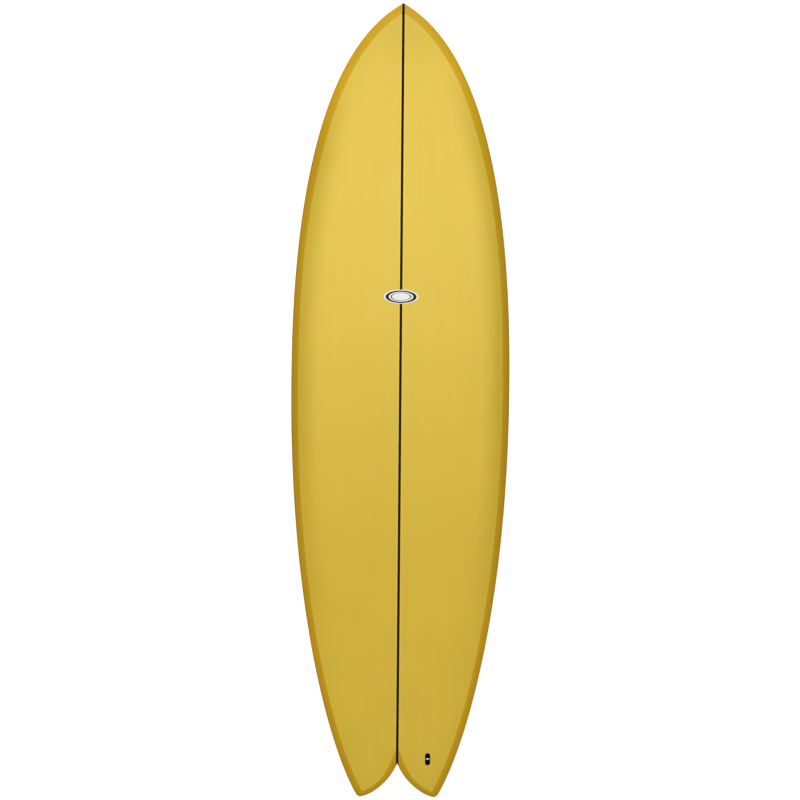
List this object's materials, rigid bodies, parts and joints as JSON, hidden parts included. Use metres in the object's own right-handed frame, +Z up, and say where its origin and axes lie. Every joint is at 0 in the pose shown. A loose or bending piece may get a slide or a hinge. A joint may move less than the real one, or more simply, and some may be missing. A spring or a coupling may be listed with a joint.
{
  "type": "surfboard",
  "caption": "Twin-fin swallow-tail surfboard: foam blank with wooden stringer under tinted glass, lapped rails, leash plug with pin and removable fins in boxes.",
  "frame": {"origin": "on the floor under the middle of the board's length and width, with the fin tips on the floor", "axes": "+X to the board's right as seen by a rider facing the nose, +Y to the nose, +Z up out of the deck"},
  "size_m": [0.546, 1.9812, 0.2299],
  "materials": {
    "foam": "matte",
    "stringer_wood": "satin",
    "lapped_glass": "gloss",
    "deck_glass": "gloss",
    "black_plastic": "satin",
    "white_plastic": "satin",
    "stainless_steel": "satin",
    "fin_glass": "gloss",
    "decal_paper": "gloss"
  },
  "bodies": {
    "board": {"foam_core_left": "foam", "foam_core_right": "foam", "stringer": "stringer_wood", "bottom_laminate": "lapped_glass", "deck_laminate": "deck_glass", "leash_cup": "black_plastic", "leash_pin": "stainless_steel", "fin_box_left": "white_plastic", "fin_box_right": "white_plastic", "deck_decal": "decal_paper"},
    "fin_left": {"fin_left": "fin_glass"},
    "fin_right": {"fin_right": "fin_glass"},
    "screw_left_front": {"fin_screw_left_front": "stainless_steel"},
    "screw_left_rear": {"fin_screw_left_rear": "stainless_steel"},
    "screw_right_front": {"fin_screw_right_front": "stainless_steel"},
    "screw_right_rear": {"fin_screw_right_rear": "stainless_steel"}
  },
  "joints": [
    {"name": "fin_left_slide", "type": "slide", "parent": "board", "child": "fin_left", "axis": [0, -0.069, -0.9976], "range_m": [0, 0.045]},
    {"name": "fin_right_slide", "type": "slide", "parent": "board", "child": "fin_right", "axis": [0, -0.069, -0.9976], "range_m": [0, 0.045]},
    {"name": "screw_left_front_slide", "type": "slide", "parent": "board", "child": "screw_left_front", "axis": [0.3417, -0.0798, -0.9364], "range_m": [0, 0.012]},
    {"name": "screw_left_rear_slide", "type": "slide", "parent": "board", "child": "screw_left_rear", "axis": [0.3417, -0.0798, -0.9364], "range_m": [0, 0.012]},
    {"name": "screw_right_front_slide", "type": "slide", "parent": "board", "child": "screw_right_front", "axis": [-0.3417, -0.0798, -0.9364], "range_m": [0, 0.012]},
    {"name": "screw_right_rear_slide", "type": "slide", "parent": "board", "child": "screw_right_rear", "axis": [-0.3417, -0.0798, -0.9364], "range_m": [0, 0.012]}
  ]
}
